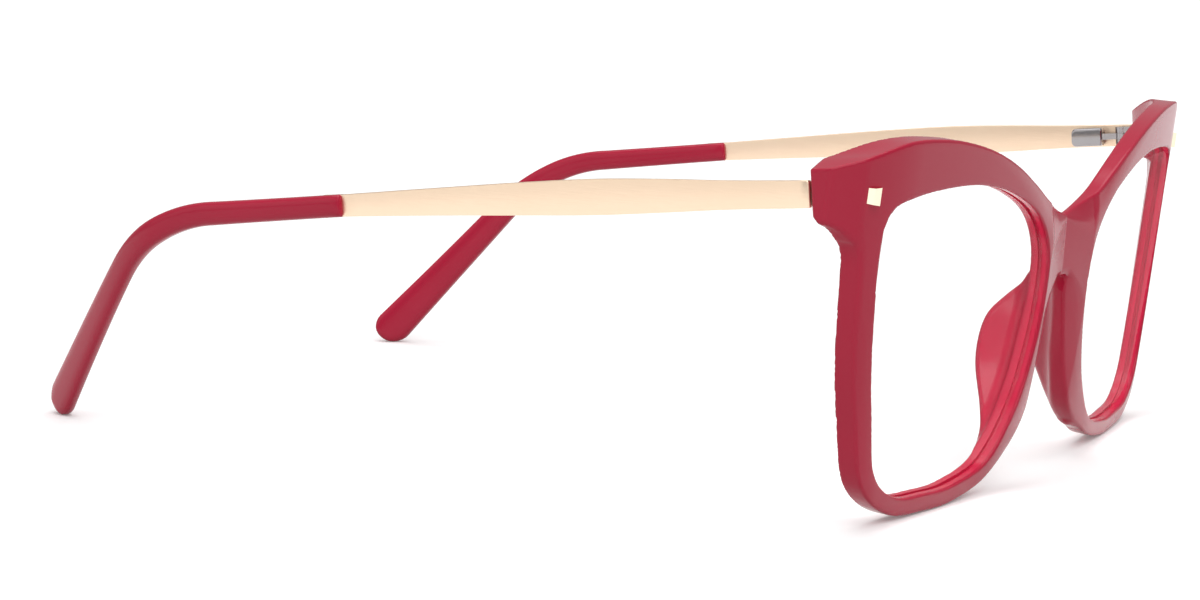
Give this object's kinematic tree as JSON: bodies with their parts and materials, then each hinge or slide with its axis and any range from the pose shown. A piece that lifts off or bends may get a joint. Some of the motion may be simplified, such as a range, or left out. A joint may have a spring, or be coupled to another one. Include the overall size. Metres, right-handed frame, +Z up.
{
  "type": "eyeglasses",
  "caption": "Cat-eye eyeglasses with a moulded front and nose pads, clear lenses, flat metal temples on spring hinges and moulded temple tips.",
  "frame": {"origin": "centre of the bounding box at the level the glasses stand on", "axes": "-Y is the way the wearer looks, +Y runs back along the temples, +X is the wearer's left, +Z up"},
  "size_m": [0.129, 0.1378, 0.0485],
  "materials": {
    "crimson_acetate": "polished",
    "clear_lens": "polished",
    "pale_gold": "polished",
    "champagne_metal": "satin",
    "hinge_steel": "polished"
  },
  "bodies": {
    "front": {"front": "crimson_acetate", "left_lens": "clear_lens", "right_lens": "clear_lens", "left_stud": "pale_gold", "right_stud": "pale_gold", "left_front_hinge": "hinge_steel", "right_front_hinge": "hinge_steel", "left_hinge_screw": "hinge_steel", "right_hinge_screw": "hinge_steel"},
    "left_slide": {"left_spring_slide": "hinge_steel"},
    "left_temple": {"left_spring_stop": "hinge_steel", "left_hinge_spring": "hinge_steel", "left_spring_housing": "hinge_steel", "left_temple_bar": "champagne_metal", "left_temple_tip": "crimson_acetate"},
    "right_slide": {"right_spring_slide": "hinge_steel"},
    "right_temple": {"right_spring_stop": "hinge_steel", "right_hinge_spring": "hinge_steel", "right_spring_housing": "hinge_steel", "right_temple_bar": "champagne_metal", "right_temple_tip": "crimson_acetate"}
  },
  "joints": [
    {"name": "left_fold", "type": "hinge", "parent": "front", "child": "left_slide", "pos_m": [0.06205, -0.05489, 0.04181], "axis": [0, 0.0994, 0.995], "range_deg": [0, 82]},
    {"name": "left_flex", "type": "slide", "parent": "left_slide", "child": "left_temple", "axis": [-0.075, 0.9922, -0.0991], "range_m": [0, 0.0006], "stiffness_N_per_m": 3000, "springref_m": -0.0003, "deforming": ["left_hinge_spring"]},
    {"name": "right_fold", "type": "hinge", "parent": "front", "child": "right_slide", "pos_m": [-0.06205, -0.05489, 0.04181], "axis": [0, -0.0994, -0.995], "range_deg": [0, 63]},
    {"name": "right_flex", "type": "slide", "parent": "right_slide", "child": "right_temple", "axis": [0.075, 0.9922, -0.0991], "range_m": [0, 0.0006], "stiffness_N_per_m": 3000, "springref_m": -0.0003, "deforming": ["right_hinge_spring"]}
  ]
}
